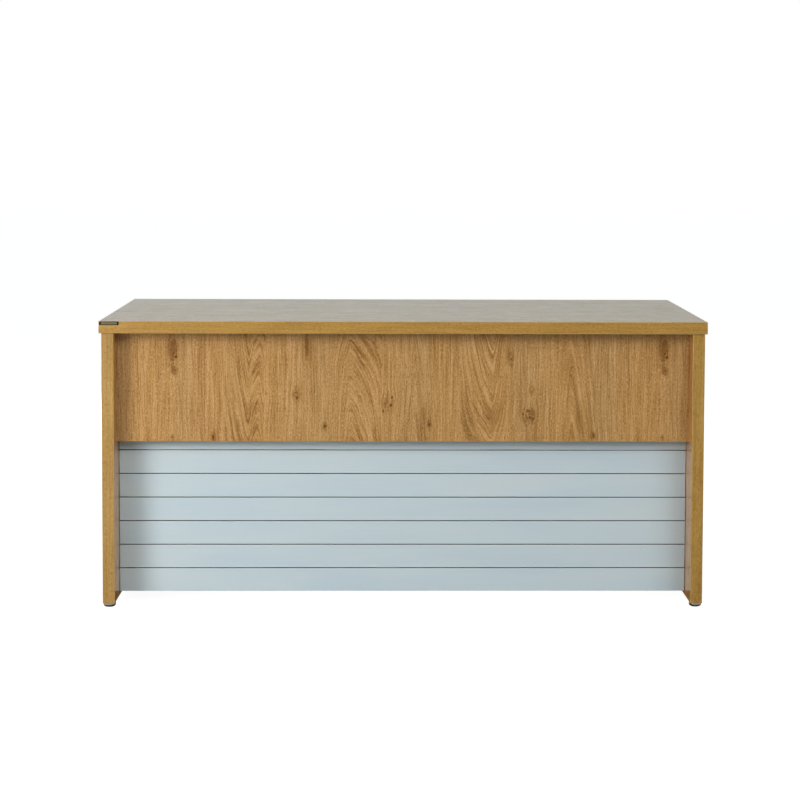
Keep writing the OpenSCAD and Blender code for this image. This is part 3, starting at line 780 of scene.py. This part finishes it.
CUP = ([(0, 9.2), (3.6, 9.2), (4.0, 9.25), (4.0, 10.5), (4.15, 10.7), (15.0, 10.7)]
       + arc(15.3, 9.5, 1.2, 84, 6, 8)
       + [(13.4 + 3.1 * math.sin(math.radians(a)), 1.5 + 5.52 * (1 - math.cos(math.radians(a)))) for a in range(90, -1, -6)]
       + [(12.15, 1.5), (12.0, 1.62), (12.0, 3.5), (3.3, 3.5), (3.05, 3.7), (3.05, 6.6), (0, 6.6)])
PAD = ([(0, 0.15), (9.6, 0.15), (9.8, 0.0), (11.0, 0.0)] + arc(11.2, 0.7, 0.7, -90, 0, 4)
       + [(11.9, 3.0), (11.75, 3.25), (11.5, 3.4), (3.3, 3.4), (3.0, 3.6), (3.0, 5.9), (2.6, 6.4), (0, 6.5)])


def threaded_stud(lo, hi):
    """Coarse machine thread, 1.25 mm to the turn, cut into the stud's skin from end to end."""
    centre = Vector(((lo.x + hi.x) / 2, (lo.y + hi.y) / 2, 0))
    radius, pitch, depth, steps, rows = (hi.x - lo.x) / 2, 1.25 * MM, 0.62 * MM, 48, 8
    bm = bmesh.new()
    z0, z1 = lo.z, hi.z
    lead = 1.0 * MM
    levels = int((z1 - z0 - 2 * lead) / (pitch / rows))
    rings = []
    for k in range(levels + 1):
        ring = []
        for i in range(steps):
            t = 2 * math.pi * i / steps
            phase = (k / rows + i / steps) % 1.0
            flank = min(max((abs(phase - 0.5) * 2 - 0.12) / 0.74, 0.0), 1.0)
            z = z0 + lead + k * pitch / rows
            fade = min(1.0, (z - z0) / (2.5 * MM), (z1 - z) / (2.0 * MM))
            r = radius - depth * (1 - flank) * fade
            ring.append(bm.verts.new((centre.x + r * math.cos(t), centre.y + r * math.sin(t), z)))
        rings.append(ring)
    def flat(r, z):
        return [bm.verts.new((centre.x + r * math.cos(2 * math.pi * i / steps), centre.y + r * math.sin(2 * math.pi * i / steps), z))
                for i in range(steps)]
    rings.insert(0, flat(radius * 0.985, z0))
    rings.append(flat(radius - 0.9 * MM, z1 - 0.1 * MM))
    for a, b in zip(rings, rings[1:]):
        for i in range(steps):
            j = (i + 1) % steps
            bm.faces.new((a[i], a[j], b[j], b[i]))
    bottom = bm.verts.new((centre.x, centre.y, z0))
    top = bm.verts.new((centre.x, centre.y, z1))
    for i in range(steps):
        j = (i + 1) % steps
        bm.faces.new((rings[0][j], rings[0][i], bottom))
        bm.faces.new((rings[-1][i], rings[-1][j], top))
    return bm


for foot in ("front_left", "front_right", "rear_left", "rear_right"):
    lo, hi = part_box(foot + "_foot_cup")
    at = ((lo.x + hi.x) / 2, (lo.y + hi.y) / 2, 0)
    bm = turned([(r * MM, h * MM) for r, h in CUP], at, 96)
    finish_mesh("detailed_" + foot + "_foot_cup", bm, M["chrome"], foot + "_glide", [foot + "_foot_cup"])
    bm = turned([(r * MM, h * MM) for r, h in PAD], at, 72)
    finish_mesh("detailed_" + foot + "_foot_pad", bm, M["nylon"], foot + "_pad", [foot + "_foot_pad"])
    bm = threaded_stud(*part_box(foot + "_foot_stud"))
    finish_mesh("detailed_" + foot + "_foot_stud", bm, M["zinc"], foot + "_glide", [foot + "_foot_stud"])


# ------------------------------------------------------------------ camera

YAW, PITCH, ROLL = -0.0183999, 0.06443099, 0.00352991
right = Vector((math.cos(YAW), math.sin(YAW), 0))
ahead = Vector((-math.sin(YAW) * math.cos(PITCH), math.cos(YAW) * math.cos(PITCH), -math.sin(PITCH)))
up = Vector((-math.sin(YAW) * math.sin(PITCH), math.cos(YAW) * math.sin(PITCH), math.cos(PITCH)))
cam_right = right * math.cos(ROLL) + up * math.sin(ROLL)
cam_up = up * math.cos(ROLL) - right * math.sin(ROLL)
camera_data = bpy.data.cameras.new("studio_camera")
camera_data.sensor_width = 36.0
camera_data.lens = 2114.64835 / 800 * 36.0
camera_data.shift_x = -0.03125
camera_data.shift_y = -0.15
camera_data.clip_end = 100.0
camera = bpy.data.objects.new("studio_camera", camera_data)
scene.collection.objects.link(camera)
matrix = Matrix((cam_right, cam_up, -ahead)).transposed().to_4x4()
matrix.translation = Vector((-0.047044258, -5.930011661, 1.22680623))
camera.matrix_world = matrix
scene.camera = camera
scene.view_settings.view_transform = "Standard"
scene.view_settings.look = "None"


# ------------------------------------------------------------------ studio

def softbox(name, place, aim, width, height, watts, colour=(1, 1, 1), gloss=True):
    light = bpy.data.lights.new(name, "AREA")
    light.shape = "RECTANGLE"
    light.size, light.size_y = width, height
    light.energy = watts
    light.color = colour
    obj = bpy.data.objects.new(name, light)
    scene.collection.objects.link(obj)
    obj.location = place
    obj.rotation_euler = (Vector(aim) - Vector(place)).to_track_quat("-Z", "Y").to_euler()
    obj.visible_camera = False
    obj.visible_glossy = gloss
    return obj


def from_desk(side_angle, height_angle, distance):
    """A place round the middle of the desk's front, left of the camera's line for a positive angle."""
    a, e = math.radians(side_angle), math.radians(height_angle)
    return (-distance * math.sin(a) * math.cos(e), -0.4 - distance * math.cos(a) * math.cos(e), 0.4 + distance * math.sin(e))


softbox("key", from_desk(47, 14, 4.2), (0.0, -0.4, 0.4), 1.3, 1.2, 66)
softbox("key_near", from_desk(45, 10, 2.8), (0.0, -0.4, 0.4), 1.1, 0.9, 16.5)
softbox("fill", from_desk(-35, 25, 7.0), (0.0, -0.4, 0.4), 3.0, 2.2, 112, gloss=False)
softbox("fill_high", from_desk(-15, 30, 5.5), (0.0, -0.4, 0.4), 3.0, 2.0, 64, gloss=False)
softbox("over_front", from_desk(0, 62, 4.5), (0.0, -0.4, 0.4), 3.0, 1.6, 14, gloss=False)
softbox("rear", from_desk(165, 12, 5.0), (0.0, 0.4, 0.4), 3.0, 1.8, 80, gloss=False)

world = bpy.data.worlds.new("studio_world")
scene.world = world
world.use_nodes = True
tree = world.node_tree
tree.nodes.clear()
w_out = tree.nodes.new("ShaderNodeOutputWorld")
w_mix = tree.nodes.new("ShaderNodeMixShader")
w_seen = tree.nodes.new("ShaderNodeBackground")
w_lit = tree.nodes.new("ShaderNodeBackground")
w_path = tree.nodes.new("ShaderNodeLightPath")
w_co = tree.nodes.new("ShaderNodeTexCoord")
w_xyz = tree.nodes.new("ShaderNodeSeparateXYZ")
w_seen.inputs[0].default_value = (1, 1, 1, 1)
w_seen.inputs[1].default_value = 1.0
tree.links.new(w_path.outputs["Is Camera Ray"], w_mix.inputs[0])
tree.links.new(w_seen.outputs[0], w_mix.inputs[2])
tree.links.new(w_mix.outputs[0], w_out.inputs[0])
tree.links.new(w_co.outputs["Generated"], w_xyz.inputs[0])


def w_math(op, a, b=None, clamp=False):
    node = tree.nodes.new("ShaderNodeMath")
    node.operation = op
    node.use_clamp = clamp
    for socket, value in zip(node.inputs, (a, b)):
        if isinstance(value, bpy.types.NodeSocket):
            tree.links.new(value, socket)
        elif value is not None:
            socket.default_value = value
    return node.outputs[0]


# grey studio: the backdrop behind the desk is bright, the room in front of it is dim
w_lean = w_math("ADD", w_math("MULTIPLY", w_xyz.outputs[0], -0.35), 0.80)
w_rear = w_math("MULTIPLY", w_math("MAXIMUM", w_xyz.outputs[1], 0.0), w_lean)
w_fore = w_math("MULTIPLY", w_math("MINIMUM", w_xyz.outputs[1], 0.0), -0.49)
w_lit.inputs[0].default_value = (0.97, 0.985, 1.0, 1)
w_back = tree.nodes.new("ShaderNodeBackground")
w_back.inputs[0].default_value = (0.93, 1.03, 1.02, 1)
tree.links.new(w_fore, w_lit.inputs[1])
tree.links.new(w_rear, w_back.inputs[1])
w_sum = tree.nodes.new("ShaderNodeAddShader")
tree.links.new(w_lit.outputs[0], w_sum.inputs[0])
tree.links.new(w_back.outputs[0], w_sum.inputs[1])
tree.links.new(w_sum.outputs[0], w_mix.inputs[1])

# floor: a plain pale sheet, washed out to the camera
bm = bmesh.new()
bmesh.ops.create_grid(bm, x_segments=2, y_segments=2, size=30.0)
floor_mesh = bpy.data.meshes.new("studio_floor")
bm.to_mesh(floor_mesh)
bm.free()
floor = bpy.data.objects.new("studio_floor", floor_mesh)
scene.collection.objects.link(floor)
# the sheet lies just under a glide that is screwed right out
floor.location = (0, 0, -10.2 * MM)
f_mat = bpy.data.materials.new("studio_floor")
f_mat.use_nodes = True
ft = f_mat.node_tree
ft.nodes.clear()
f_out = ft.nodes.new("ShaderNodeOutputMaterial")
f_mix = ft.nodes.new("ShaderNodeMixShader")
f_path = ft.nodes.new("ShaderNodeLightPath")
f_bounce = ft.nodes.new("ShaderNodeBsdfDiffuse")
f_bounce.inputs[0].default_value = (0.41, 0.41, 0.41, 1)
f_seen = ft.nodes.new("ShaderNodeBsdfDiffuse")
f_seen.inputs[0].default_value = (0.35, 0.35, 0.35, 1)
f_glow = ft.nodes.new("ShaderNodeEmission")
f_glow.inputs[0].default_value = (1, 1, 1, 1)
f_glow.inputs[1].default_value = 0.90
f_sum = ft.nodes.new("ShaderNodeAddShader")
ft.links.new(f_seen.outputs[0], f_sum.inputs[0])
ft.links.new(f_glow.outputs[0], f_sum.inputs[1])
# mirrored in the chrome and the leg faces, it is painted darker where the desk stands over it: painted shade under the
# desk
f_geo = ft.nodes.new("ShaderNodeNewGeometry")
f_xyz = ft.nodes.new("ShaderNodeSeparateXYZ")
ft.links.new(f_geo.outputs["Position"], f_xyz.inputs[0])
within = []
for axis, reach in ((0, 802 * MM), (1, 402 * MM)):
    f_abs = ft.nodes.new("ShaderNodeMath")
    f_abs.operation = "ABSOLUTE"
    ft.links.new(f_xyz.outputs[axis], f_abs.inputs[0])
    f_less = ft.nodes.new("ShaderNodeMath")
    f_less.operation = "LESS_THAN"
    ft.links.new(f_abs.outputs[0], f_less.inputs[0])
    f_less.inputs[1].default_value = reach
    within.append(f_less.outputs[0])
f_under_desk_shade = ft.nodes.new("ShaderNodeMath")
f_under_desk_shade.operation = "MULTIPLY"
ft.links.new(within[0], f_under_desk_shade.inputs[0])
ft.links.new(within[1], f_under_desk_shade.inputs[1])
f_tone = ft.nodes.new("ShaderNodeMix")
f_tone.data_type = "RGBA"
ft.links.new(f_under_desk_shade.outputs[0], f_tone.inputs[0])
f_tone.inputs[6].default_value = (0.41, 0.40, 0.38, 1)
f_tone.inputs[7].default_value = (0.15, 0.15, 0.15, 1)
f_dim = ft.nodes.new("ShaderNodeBsdfDiffuse")
ft.links.new(f_tone.outputs[2], f_dim.inputs[0])
f_gloss = ft.nodes.new("ShaderNodeMixShader")
ft.links.new(f_path.outputs["Is Glossy Ray"], f_gloss.inputs[0])
ft.links.new(f_bounce.outputs[0], f_gloss.inputs[1])
ft.links.new(f_dim.outputs[0], f_gloss.inputs[2])
ft.links.new(f_path.outputs["Is Camera Ray"], f_mix.inputs[0])
ft.links.new(f_gloss.outputs[0], f_mix.inputs[1])
ft.links.new(f_sum.outputs[0], f_mix.inputs[2])
# from below the sheet lets the camera through, so that the underside can be looked at
f_below = ft.nodes.new("ShaderNodeMath")
f_below.operation = "MULTIPLY"
ft.links.new(f_geo.outputs["Backfacing"], f_below.inputs[0])
ft.links.new(f_path.outputs["Is Camera Ray"], f_below.inputs[1])
f_clear = ft.nodes.new("ShaderNodeBsdfTransparent")
f_side = ft.nodes.new("ShaderNodeMixShader")
ft.links.new(f_below.outputs[0], f_side.inputs[0])
ft.links.new(f_mix.outputs[0], f_side.inputs[1])
ft.links.new(f_clear.outputs[0], f_side.inputs[2])
ft.links.new(f_side.outputs[0], f_out.inputs[0])
floor_mesh.materials.append(f_mat)
floor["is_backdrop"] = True


# ------------------------------------------------------------------ finish

lo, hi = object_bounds()
